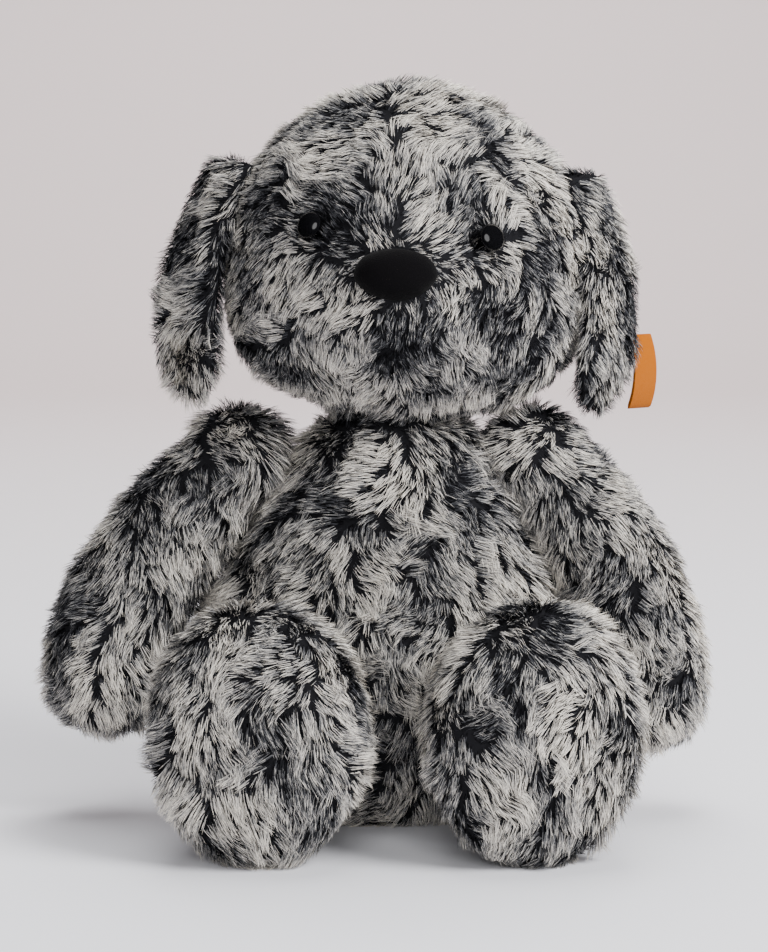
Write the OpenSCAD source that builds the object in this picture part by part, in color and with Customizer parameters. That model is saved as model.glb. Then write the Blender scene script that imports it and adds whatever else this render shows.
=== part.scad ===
// Seated plush dog: stuffed fur-fabric bodies, each limb and the head hung on a soft gathered joint.
// The dog faces -Y and sits on z = 0. All soft forms are the fabric with its pile lying half flat.

/* [Head] */
// Width over the cheeks
head_w = 154; // [140:1:160]
// Height from chin to crown
head_h = 140; // [130:1:146]
// Depth from forehead to nape
head_d = 126; // [116:1:132]
// How far the muzzle stands out of the face
muzzle_out = 17; // [8:1:22]
// Height of the head's middle above the floor
head_z = 251; // [248:1:256]
// Sideways place of the head's middle
head_x = 10; // [4:1:12]
// How far the head leans towards the dog's left, in degrees
head_lean = 3.6; // [0:0.2:5]
// How much fuller the head is at the jowls than an egg would be
jowl_share = 0.48; // [0:0.02:0.48]
// How far the head is turned towards the dog's right, in degrees
head_yaw = 3.5; // [0:0.5:5]
// Distance between the eyes
eye_gap = 71; // [66:1:80]
// Diameter of an eye's dome
eye_d = 12; // [9:0.5:13]
// Width of the nose
nose_w = 35; // [28:1:38]
// Height of the nose
nose_h = 22; // [18:1:25]

/* [Ears] */
// Length of an ear from seam to tip
ear_l = 104; // [90:1:110]
// Width of an ear at its widest
ear_w = 46; // [38:1:52]
// Thickness of an ear
ear_t = 9; // [7:0.5:10]
// Length of the folded label on the ear's edge
label_l = 35; // [26:1:38]
// Width of the folded label
label_w = 12; // [8:1:14]

/* [Torso] */
// Height of the torso at the neck
torso_h = 186; // [180:1:190]
// Width of the belly
belly_w = 162; // [150:1:162]
// Depth of the belly
belly_d = 118; // [110:1:122]
// Radius of the flat seat panel
seat_r = 47; // [40:1:48]
// Radius of the gathered neck ball
neck_r = 26; // [22:1:27]

/* [Limbs] */
// Radius of an arm at its thickest
arm_r = 25; // [20:0.5:25]
// Radius of an arm's gathered top
shoulder_r = 21; // [18:0.5:22]
// Width of a foot's sole
foot_w = 87; // [80:1:87]
// Height of a foot's sole
foot_h = 107; // [98:1:107]
// Radius of a leg's gathered top
hip_r = 29; // [25:0.5:30]
// Radius of the tail
tail_r = 9; // [7:0.5:10]

/* [Fabric] */
// Thickness of the fur fabric
skin_t = 2.2; // [1.6:0.1:2.6]
// Gap between pieces of one stuffed body
fit_gap = 0.25; // [0.15:0.05:0.3]
// Gap round a gathered joint, filled by the pile
joint_gap = 0.6; // [0.4:0.1:0.8]
// Thickness of the sewing thread
thread_d = 1.2; // [0.8:0.1:1.4]

/* [Hidden] */

// Where the joints turn
neck_at = [6, 4, 181];
shoulder_at_left = [67, -2, 159];
shoulder_at_right = [-65, -2, 159];
hip_at_left = [48, -58, 45];
hip_at_right = [-47, -58, 45];
tail_at = [0, 64, 36];
ear_at_left = [86, 0, 283];
ear_at_right = [-67, 0, 289];

// Centre lines of the limbs, from joint to end, as evenly spread points
arm_line_left = [shoulder_at_left, [92, -3, 128], [110.5, -5, 93], [117, -8, 62], [118, -10, 30]];
arm_line_right = [shoulder_at_right, [-91, -3, 130], [-114, -5, 97], [-124.5, -8, 68], [-126, -10, 37]];
leg_line_left = [hip_at_left, [55, -78, 48], [62, -99, foot_h / 2], [68, -122, foot_h / 2 + 1]];
leg_line_right = [hip_at_right, [-50, -78, 48], [-52, -99, foot_h / 2], [-54, -123, foot_h / 2 + 1]];
tail_line = [tail_at, [0, 80, 41], [2, 94, 52], [4, 101, 68]];

// Shapes along each form, as evenly spread stations of half widths
arm_shape = [19, 24, arm_r, arm_r, arm_r * 0.97];
leg_wide = [26, 37, foot_w / 2 - 0.5, foot_w / 2];
leg_tall = [26, 43, foot_h / 2 - 0.5, foot_h / 2];
tail_shape = [tail_r * 0.9, tail_r, tail_r, tail_r * 0.8];
torso_wide = [
    seat_r, 0.46 * belly_w, belly_w / 2, 0.495 * belly_w, 0.43 * belly_w, 0.345 * belly_w, 0.26 * belly_w, 22
];
torso_deep = [
    seat_r, 0.47 * belly_d, belly_d / 2, belly_d / 2, 0.47 * belly_d, 0.41 * belly_d, 0.33 * belly_d, 22
];

// How finely the soft forms are divided
ring_steps = 26;
length_steps = 12;
$fn = 48;

fur = "gainsboro";
backing = "dimgray";
wadding = "ivory";
plastic = "black";

// ---- Plain functions -------------------------------------------------------

function unit(v) = v / norm(v);

function mix(a, b, t) = a + (b - a) * t;

// A smooth value between the evenly spread stations of a list, for t from 0 to 1
function along(list, t) =
    let (
        last = len(list) - 1,
        i = min(floor(t * last), last - 1),
        f = t * last - i,
        a = list[max(i - 1, 0)],
        b = list[i],
        c = list[i + 1],
        d = list[min(i + 2, last)]
    )
    b + f * (c - a) / 2 + f * f * (a - 2.5 * b + 2 * c - d / 2) + f * f * f * (1.5 * (b - c) + (d - a) / 2);

// A bump of height 1 that fades over a spread
function bump(x, spread) = exp(-x * x / (2 * spread * spread));

// ---- The soft forms, each a function of place along, angle round and depth under the surface ----

// A stuffed limb: round about its line, blunt at its end, open at its joint.
// end_share is how much of its length the rounded end takes.
// u runs faster at first, so the end is finely divided.
function limb_point(line, wide, tall, end_share, u, a, deep) =
    let (
        t = sin(90 * u),
        reach = norm(line[len(line) - 1] - line[0]),
        s = t * (1 - deep / reach),
        way = unit(along(line, min(s + 0.02, 1)) - along(line, max(s - 0.02, 0))),
        side = unit(cross([0, 0.35, 1], way)),
        up = cross(way, side),
        into_end = max(0, (t - 1 + end_share) / end_share),
        round_off = sqrt(max(0, 1 - into_end * into_end))
    )
    along(line, s)
        + side * (along(wide, s) - deep) * round_off * cos(a)
        + up * (along(tall, s) - deep) * round_off * sin(a);

function arm_left_point(u, a, deep) = limb_point(arm_line_left, arm_shape, arm_shape, 0.22, u, a, deep);

function arm_right_point(u, a, deep) = limb_point(arm_line_right, arm_shape, arm_shape, 0.22, u, a, deep);

function leg_left_point(u, a, deep) = limb_point(leg_line_left, leg_wide, leg_tall, 0.26, u, a, deep);

function leg_right_point(u, a, deep) = limb_point(leg_line_right, leg_wide, leg_tall, 0.26, u, a, deep);

function tail_point(u, a, deep) = limb_point(tail_line, tail_shape, tail_shape, 0.3, u, a, deep);

// The torso, from its seat at t = 0 to its neck at t = 1; a = 0 is the dog's left, a = -90 its front
function torso_point(t, a, deep) =
    let (
        shift = 4 - 3 * t,
        front_tuck = sin(a) < 0 ? 1 : 1.06
    )
    [
        (along(torso_wide, t) - deep) * cos(a) + neck_at[0] * t * t,
        (along(torso_deep, t) - deep) * front_tuck * sin(a) + shift,
        mix(deep, torso_h - deep, t)
    ];

// The head, from its right pole at t = 0 to its left at t = 1; a = 0 is the front, a = 90 the crown
function head_point(t, a, deep) =
    let (
        th = 180 * t,
        r = sin(th),
        z0 = r * sin(a),
        cheeks = 1 - 0.075 * (z0 + 0.25) * (z0 + 0.25) * sign(z0 + 0.25),
        jowls = 1 + jowl_share * pow(max(0, -z0), 2.2),
        x = -(head_w / 2 - deep) * cos(th) * cheeks * jowls,
        z = (head_h / 2 - deep) * z0,
        y = -(head_d / 2 - deep) * r * cos(a),
        front = max(0, cos(a)) * r,
        bulge = muzzle_out * bump(x, 30) * bump(z + 22, 26) * pow(front, 0.7)
    )
    [x, y - bulge, z];

// ---- Solids made from the forms --------------------------------------------

// Faces of a grid of points, with one row per step along; a pole row has all its faces fanned
function grid_faces(rows, cols, first, flip) = [
    for (i = [0 : rows - 1])
        for (j = [0 : cols - 1])
            let (
                p = first + i * (cols + 1) + j,
                q = p + cols + 1
            )
            each (flip ? [[p, q, p + 1], [p + 1, q, q + 1]] : [[p, p + 1, q], [p + 1, q + 1, q]])
];

// A sheet with two faces and closed edges, over steps along and angles round
module patch(outer, inner, rows, cols) {
    points = concat(outer, inner);
    n = (rows + 1) * (cols + 1);
    rims = [
        for (i = [0 : rows - 1])
            let (p = i * (cols + 1), q = p + cols + 1)
            each [
                [p, q, p + n], [q, q + n, p + n],
                [p + cols, p + cols + n, q + cols], [q + cols, p + cols + n, q + cols + n]
            ]
    ];
    ends = [
        for (j = [0 : cols - 1])
            let (p = j, q = rows * (cols + 1) + j)
            each [
                [p, p + n, p + 1], [p + 1, p + n, p + n + 1],
                [q, q + 1, q + n], [q + 1, q + 1 + n, q + n]
            ]
    ];
    all_faces = concat(
        grid_faces(rows, cols, 0, false),
        grid_faces(rows, cols, n, true),
        rims,
        ends
    );
    used = [for (f = all_faces) if (has_area(points, f)) f];
    polyhedron(points, used, convexity = 6);
}

function has_area(points, f) =
    norm(cross(points[f[1]] - points[f[0]], points[f[2]] - points[f[0]])) > 0.0001;

// Points of a form over a range along and a range round
function grid(t0, t1, a0, a1, rows, cols, form, deep) = [
    for (i = [0 : rows])
        for (j = [0 : cols])
            form(mix(t0, t1, i / rows), mix(a0, a1, j / cols), deep)
];

// A panel of fur fabric cut from a form
module panel(form, t0, t1, a0, a1, rows, cols) {
    patch(
        grid(t0, t1, a0, a1, rows, cols, form, 0),
        grid(t0, t1, a0, a1, rows, cols, form, skin_t),
        rows,
        cols
    );
}

// A dished panel that closes the end of a form, from its open edge to its pole
module dish(form, t_edge, t_pole, rows) {
    cols = ring_steps;
    outer = dish_points(form, t_edge, t_pole, rows, cols, 0);
    inner = dish_points(form, t_edge, t_pole, rows, cols, skin_t);
    n = len(outer);
    out_faces = dish_faces(rows, cols, 0);
    in_faces = [for (f = dish_faces(rows, cols, n)) [f[0], f[2], f[1]]];
    rim = [
        for (j = [0 : cols - 1])
            let (s = (j + 1) % cols)
            each [[j, j + n, s], [s, j + n, s + n]]
    ];
    faces = concat(out_faces, in_faces, rim);
    turned = [for (f = faces) [f[0], f[2], f[1]]];
    polyhedron(concat(outer, inner), t_pole > t_edge ? faces : turned, convexity = 4);
}

function dish_points(form, t_edge, t_pole, rows, cols, deep) = [
    for (i = [0 : rows - 1])
        for (j = [0 : cols - 1])
            form(mix(t_edge, t_pole, i / rows), 360 * j / cols, deep),
    form(t_pole, 0, deep)
];

function dish_faces(rows, cols, first) = [
    for (i = [0 : rows - 1])
        for (j = [0 : cols - 1])
            let (
                p = first + i * cols + j,
                s = first + i * cols + (j + 1) % cols
            )
            each (i < rows - 1
                ? [[p, s, p + cols], [s, s + cols, p + cols]]
                : [[p, s, first + rows * cols]])
];

// A closed stuffing that fills a form under its fabric
module filling(form, t0, t1, rows) {
    deep = skin_t + 3 * fit_gap;
    cols = ring_steps;
    rings = [
        for (i = [0 : rows])
            for (j = [0 : cols - 1])
                form(mix(t0, t1, i / rows), 360 * j / cols, deep)
    ];
    first_mid = form(t0, 0, deep) / 2 + form(t0, 180, deep) / 2;
    last_mid = form(t1, 0, deep) / 2 + form(t1, 180, deep) / 2;
    points = concat(rings, [first_mid, last_mid]);
    n = len(rings);
    walls = [
        for (i = [0 : rows - 1])
            for (j = [0 : cols - 1])
                let (p = i * cols + j, s = i * cols + (j + 1) % cols)
                each [[p, s, p + cols], [s, s + cols, p + cols]]
    ];
    lids = [
        for (j = [0 : cols - 1])
            let (s = (j + 1) % cols, top = rows * cols)
            each [[j, n, s], [top + j, top + s, n + 1]]
    ];
    used = [for (f = concat(walls, lids)) if (has_area(points, f)) f];
    polyhedron(points, used, convexity = 6);
}

// A thread or cord swept along points, eight-sided
module thread(points, d) {
    sides = 8;
    n = len(points);
    rings = [
        for (i = [0 : n - 1])
            let (
                way = unit(points[min(i + 1, n - 1)] - points[max(i - 1, 0)]),
                side = unit(cross(way, abs(way[2]) > 0.9 ? [1, 0, 0] : [0, 0, 1])),
                up = cross(side, way)
            )
            for (j = [0 : sides - 1])
                points[i] + d / 2 * (side * cos(360 * j / sides) + up * sin(360 * j / sides))
    ];
    walls = [
        for (i = [0 : n - 2])
            for (j = [0 : sides - 1])
                let (p = i * sides + j, s = i * sides + (j + 1) % sides)
                each [[p, p + sides, s], [s, p + sides, s + sides]]
    ];
    starts = [[for (j = [0 : sides - 1]) j]];
    ends = [[for (j = [sides - 1 : -1 : 0]) (n - 1) * sides + j]];
    polyhedron(rings, concat(walls, starts, ends), convexity = 6);
}

// The room that the pile leaves round a gathered joint
module joint_room(at, r) {
    translate(at)
        sphere(r = r + joint_gap);
}

// The hollows in the torso where the limbs, the neck and the tail are gathered
module torso_sockets() {
    joint_room(neck_at, neck_r + 2);
    joint_room(shoulder_at_left, shoulder_r);
    joint_room(shoulder_at_right, shoulder_r);
    joint_room(hip_at_left, hip_r);
    joint_room(hip_at_right, hip_r);
    joint_room(tail_at, tail_r + 1);
}

module gather(at, r) {
    color(backing)
        translate(at)
            sphere(r = r);
}

// ---- Torso -----------------------------------------------------------------

torso_form = function(t, a, deep) torso_point(t, a, deep);
seat_rim = 0.02;
neck_rim = 0.97;
seam_gap = 0.35; // in degrees round the torso

module seat_panel() {
    color(fur)
        translate([0, 4, 0])
            cylinder(r = seat_r - 1, h = skin_t);
}

module torso_panel(a0, a1) {
    color(fur)
        difference() {
            panel(torso_form, seat_rim, neck_rim, a0 + seam_gap, a1 - seam_gap, length_steps, 9);
            torso_sockets();
        }
}

module belly_panel_left() torso_panel(-90, 0);

module belly_panel_right() torso_panel(-180, -90);

module back_panel_left() torso_panel(0, 90);

module back_panel_right() torso_panel(90, 180);

module torso_filling() {
    color(wadding)
        difference() {
            filling(torso_form, 0.01, 0.97, length_steps);
            torso_sockets();
        }
}

// Ladder stitches that close the back seam after stuffing
module back_closing_thread() {
    first = 0.34;
    last = 0.62;
    stitches = 14;
    color(backing)
        thread(
            [
                for (i = [0 : stitches])
                    let (side = i % 2 == 0 ? -1.6 : 1.6)
                    torso_point(mix(first, last, i / stitches), 90 + side, -thread_d / 2 - 0.3)
            ],
            thread_d
        );
}

module care_label() {
    care_w = 18;
    care_l = 27;
    side = 38; // where round the torso it is sewn in, in degrees
    color("white")
        translate(torso_point(0.25, side, -1.2))
            rotate([0, 0, side])
                translate([0, -care_w / 2, -care_l])
                    cube([0.8, care_w, care_l]);
}

// ---- Neck ------------------------------------------------------------------

module neck_gather() gather(neck_at, neck_r);

// The draw thread that gathers the neck, lying in the room round the ball
module neck_gather_thread() {
    color(backing)
        translate(neck_at)
            rotate_extrude()
                translate([neck_r + joint_gap + 0.3 + thread_d / 2, 0])
                    circle(d = thread_d);
}

// ---- Head ------------------------------------------------------------------

head_form = function(t, a, deep) head_point(t, a, deep);
side_cut = 0.27;
muzzle_top = 12; // angle round the head at which the crown panel meets the muzzle
muzzle_low = -52;
nape = 232;
half_seam = 0.003;
round_seam = 0.5;

module head_place() {
    translate([head_x, 0, head_z])
        rotate([0, head_lean, -head_yaw])
            children();
}

module head_panel(t0, t1, a0, a1, rows, cols) {
    color(fur)
        difference() {
            head_place()
                difference() {
                    panel(head_form, t0, t1, a0, a1, rows, cols);
                    face_holes();
                }
            joint_room(neck_at, neck_r + 2);
        }
}

module crown_panel() head_panel(side_cut, 1 - side_cut, muzzle_top + round_seam, nape - round_seam, 9, 18);

module cheek_panel(t_edge, t_pole) {
    color(fur)
        difference() {
            head_place()
                difference() {
                    dish(head_form, t_edge, t_pole, 6);
                    face_holes();
                }
            joint_room(neck_at, neck_r + 2);
        }
}

module cheek_panel_right() cheek_panel(side_cut - half_seam, 0);

module cheek_panel_left() cheek_panel(1 - side_cut + half_seam, 1);

module muzzle_panel(t0, t1) head_panel(t0, t1, muzzle_low + round_seam, muzzle_top, 6, 8);

module muzzle_panel_right() muzzle_panel(side_cut, 0.5 - half_seam / 2);

module muzzle_panel_left() muzzle_panel(0.5 + half_seam / 2, 1 - side_cut);

module chin_panel() head_panel(side_cut, 1 - side_cut, nape - 360 + round_seam, muzzle_low, 9, 9);

module head_filling() {
    color(wadding)
        difference() {
            head_place()
                difference() {
                    filling(head_form, 0, 1, 16);
                    face_holes();
                }
            joint_room(neck_at, neck_r + 2);
        }
}

eye_t = 0.5 + asin(eye_gap / head_w) / 180;
eye_a = 7;
nose_a = -6;
shank_r = 1.8;
washer_r = 6;
washer_t = 1.6;
shank_l = 12;
eye_seat = 0.6; // how far the back of a dome stands off the fabric's outer face
nose_seat = 0.5;

// Outward direction of the head's surface
function face_way(t, a) =
    let (
        across = head_point(t + 0.01, a, 0) - head_point(t - 0.01, a, 0),
        up = head_point(t, a + 1, 0) - head_point(t, a - 1, 0)
    )
    unit(cross(across, up));

// Stands its children on the head's own surface, with +Z outward
module on_face(t, a) {
    way = face_way(t, a);
    translate(head_point(t, a, 0))
        rotate([0, 0, atan2(way[0], -way[1])])
            rotate([90 - asin(way[2]), 0, 0])
                children();
}

module on_eye(side) {
    on_face(0.5 + side * (eye_t - 0.5), eye_a)
        children();
}

module on_nose() {
    on_face(0.5, nose_a)
        children();
}

// Room in fabric and stuffing for a shank and its washer
module shank_room() {
    translate([0, 0, -shank_l - 2])
        cylinder(r = washer_r + 0.6, h = shank_l + 2 + 3);
}

module face_holes() {
    on_eye(-1)
        shank_room();
    on_eye(1)
        shank_room();
    on_nose()
        shank_room();
}

// A safety eye: a glossy dome on a shank that goes in through the fabric
module eye() {
    translate([0, 0, eye_seat])
        intersection() {
            sphere(d = eye_d);
            cylinder(d = eye_d + 1, h = eye_d);
        }
    translate([0, 0, -shank_l])
        cylinder(r = shank_r, h = shank_l + eye_seat + 1);
}

module eye_left() {
    color(plastic)
        head_place()
            on_eye(1)
                eye();
}

module eye_right() {
    color(plastic)
        head_place()
            on_eye(-1)
                eye();
}

// The toothed washer that locks a shank from inside
module lock_washer() {
    translate([0, 0, -shank_l + 2])
        difference() {
            cylinder(r = washer_r, h = washer_t);
            translate([0, 0, -1])
                cylinder(r = shank_r + 0.06, h = washer_t + 2);
        }
}

module eye_washer_left() {
    color("white")
        head_place()
            on_eye(1)
                lock_washer();
}

module eye_washer_right() {
    color("white")
        head_place()
            on_eye(-1)
                lock_washer();
}

module nose_washer() {
    color("white")
        head_place()
            on_nose()
                lock_washer();
}

// The flocked nose: an oval cushion, rounder above and narrower below, on a shank
module nose() {
    nose_out = 11;
    rings = 7;
    cols = 28;
    points = concat(
        [
            for (i = [0 : rings - 1])
                let (q = 90 * i / rings)
                for (j = [0 : cols - 1])
                    let (
                        a = 360 * j / cols,
                        narrow = sin(a) < 0 ? 1 + 0.22 * sin(a) : 1
                    )
                    [
                        nose_w / 2 * cos(q) * cos(a) * narrow,
                        nose_h / 2 * cos(q) * sin(a),
                        nose_out * sin(q)
                    ]
        ],
        [[0, 0, nose_out], [0, 0, 0]]
    );
    n = rings * cols;
    walls = [
        for (i = [0 : rings - 2])
            for (j = [0 : cols - 1])
                let (p = i * cols + j, s = i * cols + (j + 1) % cols)
                each [[p, p + cols, s], [s, p + cols, s + cols]]
    ];
    lids = [
        for (j = [0 : cols - 1])
            let (s = (j + 1) % cols)
            each [[(rings - 1) * cols + j, n, (rings - 1) * cols + s], [j, s, n + 1]]
    ];
    color("#161414")
        head_place()
            on_nose() {
                translate([0, 0, nose_seat])
                    polyhedron(points, concat(walls, lids), convexity = 4);
                translate([0, 0, -shank_l])
                    cylinder(r = shank_r, h = shank_l + nose_seat + 2);
            }
}

// The dark stitched line from the nose down the muzzle
module mouth_stitch() {
    steps = 12;
    from_a = nose_a - 15;
    to_a = -50;
    lift = thread_d / 2 + 0.4;
    color(plastic)
        head_place()
            thread([for (i = [0 : steps]) head_point(0.5, mix(from_a, to_a, i / steps), -lift)], thread_d);
}

// ---- Ears ------------------------------------------------------------------

// Half width of an ear at s from seam to tip
function ear_half(s) = ear_w / 2 * (0.74 + 0.42 * s) * sqrt(max(0, 1 - pow(max(0, (s - 0.6) / 0.4), 2.2)));

// Half thickness of an ear at s from seam to tip
function ear_thick(s) = ear_t / 2 * sqrt(max(0.02, 1 - pow(max(0, (s - 0.72) / 0.28), 2)));

// One layer of an ear hanging from the origin down -Z, bowed outward along +X
// drift is how far its tip has moved outward.
module ear_layer(side, layer, drift) {
    rows = 13;
    cols = 8;
    mid_gap = fit_gap / 2;
    last_s = 0.985;
    outer = [
        for (i = [0 : rows])
            for (j = [0 : cols])
                let (
                    s = last_s * i / rows,
                    b = 180 * j / cols,
                    bow = drift * s + ear_bow * sin(180 * s)
                )
                [
                    side * (bow + layer * (mid_gap + ear_thick(s) * sin(b))),
                    -ear_half(s) * cos(b),
                    -ear_l * s
                ]
    ];
    inner = [
        for (i = [0 : rows])
            for (j = [0 : cols])
                let (
                    s = last_s * i / rows,
                    b = 180 * j / cols,
                    bow = drift * s + ear_bow * sin(180 * s)
                )
                [side * (bow + layer * mid_gap), -ear_half(s) * cos(b), -ear_l * s]
    ];
    if (side * layer > 0)
        patch(inner, outer, rows, cols);
    else
        patch(outer, inner, rows, cols);
}

module ear_place(at, turn) {
    translate(at)
        rotate([0, 0, turn])
            children();
}

ear_bow = 11;
ear_turn_left = -28;
ear_turn_right = 34;
ear_drift_left = 8;
ear_drift_right = 21;

module ear_left_part(layer) {
    color(fur)
        ear_place(ear_at_left, ear_turn_left)
            ear_layer(1, layer, ear_drift_left);
}

module ear_right_part(layer) {
    color(fur)
        ear_place(ear_at_right, ear_turn_right)
            ear_layer(-1, layer, ear_drift_right);
}

module ear_outer_left() ear_left_part(1);

module ear_lining_left() ear_left_part(-1);

module ear_outer_right() ear_right_part(1);

module ear_lining_right() ear_right_part(-1);

// The label's sewn end, at the rear edge of the left ear
label_at = [110.5, 15.5, 212];
label_turn = -58;

// A plain folded tape sewn into the ear's edge: two leaves joined by the fold at the far end, bowed outwards
module ear_label() {
    leaf_t = 0.7;
    bend_r = 32;
    half = label_l / bend_r * 90 / PI;
    steps = 10;
    start = bend_r * [cos(half), sin(half)];
    outer = [for (i = [-steps : steps]) let (a = half * i / steps) bend_r * [cos(a), -sin(a)]];
    inner_share = (bend_r - 2 * leaf_t) / bend_r;
    outline = [
        for (p = outer) p - start,
        for (i = [2 * steps : -1 : 0]) inner_share * outer[i] - start
    ];
    color("peru")
        translate(label_at)
            rotate([0, 0, label_turn])
                rotate([90, 0, 0])
                    translate([0, 0, -label_w])
                        linear_extrude(label_w)
                            polygon(outline);
}

// ---- Arms ------------------------------------------------------------------

arm_start = 0.064;

module arm_panel(form, a0, a1) {
    color(fur)
        panel(form, arm_start, 1, a0 + 1, a1 - 1, length_steps, 9);
}

module arm_stuffing(form, at) {
    color(wadding)
        difference() {
            filling(form, arm_start, 1, length_steps);
            joint_room(at, shoulder_r);
        }
}

left_arm = function(t, a, deep) arm_left_point(t, a, deep);
right_arm = function(t, a, deep) arm_right_point(t, a, deep);

module shoulder_gather_left() gather(shoulder_at_left, shoulder_r);

module arm_outer_left() arm_panel(left_arm, -90, 90);

module arm_inner_left() arm_panel(left_arm, 90, 270);

module arm_filling_left() arm_stuffing(left_arm, shoulder_at_left);

module shoulder_gather_right() gather(shoulder_at_right, shoulder_r);

module arm_outer_right() arm_panel(right_arm, 90, 270);

module arm_inner_right() arm_panel(right_arm, -90, 90);

module arm_filling_right() arm_stuffing(right_arm, shoulder_at_right);

// ---- Legs ------------------------------------------------------------------

leg_start = 0.12;
sole_edge = 0.66;

module leg_panel(form, a0, a1) {
    color(fur)
        panel(form, leg_start, sole_edge - 0.004, a0 + 0.6, a1 - 0.6, 8, 13);
}

module sole_panel(form) {
    color(fur)
        dish(form, sole_edge, 1, 5);
}

module leg_stuffing(form, at) {
    color(wadding)
        difference() {
            filling(form, leg_start, 1, length_steps);
            joint_room(at, hip_r);
        }
}

left_leg = function(t, a, deep) leg_left_point(t, a, deep);
right_leg = function(t, a, deep) leg_right_point(t, a, deep);

module hip_gather_left() gather(hip_at_left, hip_r);

module leg_top_left() leg_panel(left_leg, 0, 180);

module leg_under_left() leg_panel(left_leg, 180, 360);

module sole_left() sole_panel(left_leg);

module leg_filling_left() leg_stuffing(left_leg, hip_at_left);

module hip_gather_right() gather(hip_at_right, hip_r);

module leg_top_right() leg_panel(right_leg, 0, 180);

module leg_under_right() leg_panel(right_leg, 180, 360);

module sole_right() sole_panel(right_leg);

module leg_filling_right() leg_stuffing(right_leg, hip_at_right);

// ---- Tail ------------------------------------------------------------------

tail_start = 0.14;
tail_form = function(t, a, deep) tail_point(t, a, deep);

module tail_panel(a0, a1) {
    color(fur)
        panel(tail_form, tail_start, 1, a0 + 2, a1 - 2, 8, 7);
}

module tail_gather() gather(tail_at, tail_r + 1);

module tail_top() tail_panel(0, 180);

module tail_under() tail_panel(180, 360);

module tail_filling() {
    color(wadding)
        difference() {
            filling(tail_form, tail_start, 1, 8);
            joint_room(tail_at, tail_r + 1);
        }
}

seat_panel();
belly_panel_left();
belly_panel_right();
back_panel_left();
back_panel_right();
torso_filling();
back_closing_thread();
care_label();
neck_gather();
neck_gather_thread();
crown_panel();
cheek_panel_left();
cheek_panel_right();
muzzle_panel_left();
muzzle_panel_right();
chin_panel();
head_filling();
eye_left();
eye_right();
eye_washer_left();
eye_washer_right();
nose();
nose_washer();
mouth_stitch();
ear_outer_left();
ear_lining_left();
ear_outer_right();
ear_lining_right();
ear_label();
shoulder_gather_left();
arm_outer_left();
arm_inner_left();
arm_filling_left();
shoulder_gather_right();
arm_outer_right();
arm_inner_right();
arm_filling_right();
hip_gather_left();
leg_top_left();
leg_under_left();
sole_left();
leg_filling_left();
hip_gather_right();
leg_top_right();
leg_under_right();
sole_right();
leg_filling_right();
tail_gather();
tail_top();
tail_under();
tail_filling();
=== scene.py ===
# %% [markdown]
# # A seated plush dog
# The toy is sewn from long-pile fur fabric, turned and stuffed. Its pattern pieces are joined by seams,
# each limb is stuffed on its own and sewn to the torso by its gathered top, and the eyes and the nose are
# hard pieces held by washers inside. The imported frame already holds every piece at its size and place.
# This lesson gives each soft piece a swollen fabric form and a pile of real strands, and each hard piece
# its finish.

import math

import bpy
import numpy as np
from mathutils import Matrix, Vector
from mathutils.bvhtree import BVHTree
from mathutils.kdtree import KDTree


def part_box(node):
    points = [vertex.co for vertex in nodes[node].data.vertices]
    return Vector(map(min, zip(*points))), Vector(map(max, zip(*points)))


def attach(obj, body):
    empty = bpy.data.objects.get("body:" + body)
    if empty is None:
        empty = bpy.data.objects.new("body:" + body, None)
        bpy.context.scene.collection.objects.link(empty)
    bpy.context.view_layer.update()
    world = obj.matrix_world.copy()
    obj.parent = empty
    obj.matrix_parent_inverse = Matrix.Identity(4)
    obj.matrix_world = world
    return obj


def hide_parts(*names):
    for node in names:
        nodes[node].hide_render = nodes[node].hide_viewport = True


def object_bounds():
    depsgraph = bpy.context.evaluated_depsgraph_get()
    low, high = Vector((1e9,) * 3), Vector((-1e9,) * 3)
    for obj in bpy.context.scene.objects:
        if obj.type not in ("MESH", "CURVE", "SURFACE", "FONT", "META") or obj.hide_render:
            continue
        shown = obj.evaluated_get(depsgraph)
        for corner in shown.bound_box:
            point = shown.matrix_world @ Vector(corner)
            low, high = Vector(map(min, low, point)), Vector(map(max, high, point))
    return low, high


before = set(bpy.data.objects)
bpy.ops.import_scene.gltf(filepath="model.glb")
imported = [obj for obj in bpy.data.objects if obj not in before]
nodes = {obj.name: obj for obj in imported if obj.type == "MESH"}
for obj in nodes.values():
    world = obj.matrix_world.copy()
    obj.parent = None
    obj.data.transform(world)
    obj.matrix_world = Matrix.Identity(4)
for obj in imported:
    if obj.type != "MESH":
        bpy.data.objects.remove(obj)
cad_low, cad_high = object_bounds()
MM = 0.001
print("CAD box in mm:", [round(v / MM, 1) for v in (*cad_low, *cad_high)])

# %% [markdown]
# ## Selecting and finishing
# Operators act on whatever is selected, and the frame arrives selected. So each step first clears the
# selection. A small helper also gives a list of mesh points as one array, which is far quicker than a
# loop over vertices.


# %% Small helpers
def select_only(*objects):
    """Selects just these objects and makes the first the active one."""
    if bpy.context.object and bpy.context.object.mode != "OBJECT":
        bpy.ops.object.mode_set(mode="OBJECT")
    bpy.ops.object.select_all(action="DESELECT")
    for o in objects:
        o.hide_set(False)
        o.select_set(True)
    bpy.context.view_layer.objects.active = objects[0]


def mesh_points(o):
    """The mesh's points as an array, one row a point."""
    flat = np.zeros(len(o.data.vertices) * 3)
    o.data.vertices.foreach_get("co", flat)
    return flat.reshape(-1, 3)


def set_points(o, points):
    """Puts the rows of points back into the mesh."""
    o.data.vertices.foreach_set("co", points.astype(np.float32).ravel())
    o.data.update()


def unit(rows):
    """Each row scaled to length 1."""
    return rows / np.maximum(np.linalg.norm(rows, axis=-1, keepdims=True), 1e-9)


def middle(name):
    """The middle of a CAD node's box."""
    low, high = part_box(name)
    return np.array((low + high) / 2)


def apply_all(o):
    """Applies the object's modifiers in order."""
    select_only(o)
    for m in list(o.modifiers):
        bpy.ops.object.modifier_apply(modifier=m.name)


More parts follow.
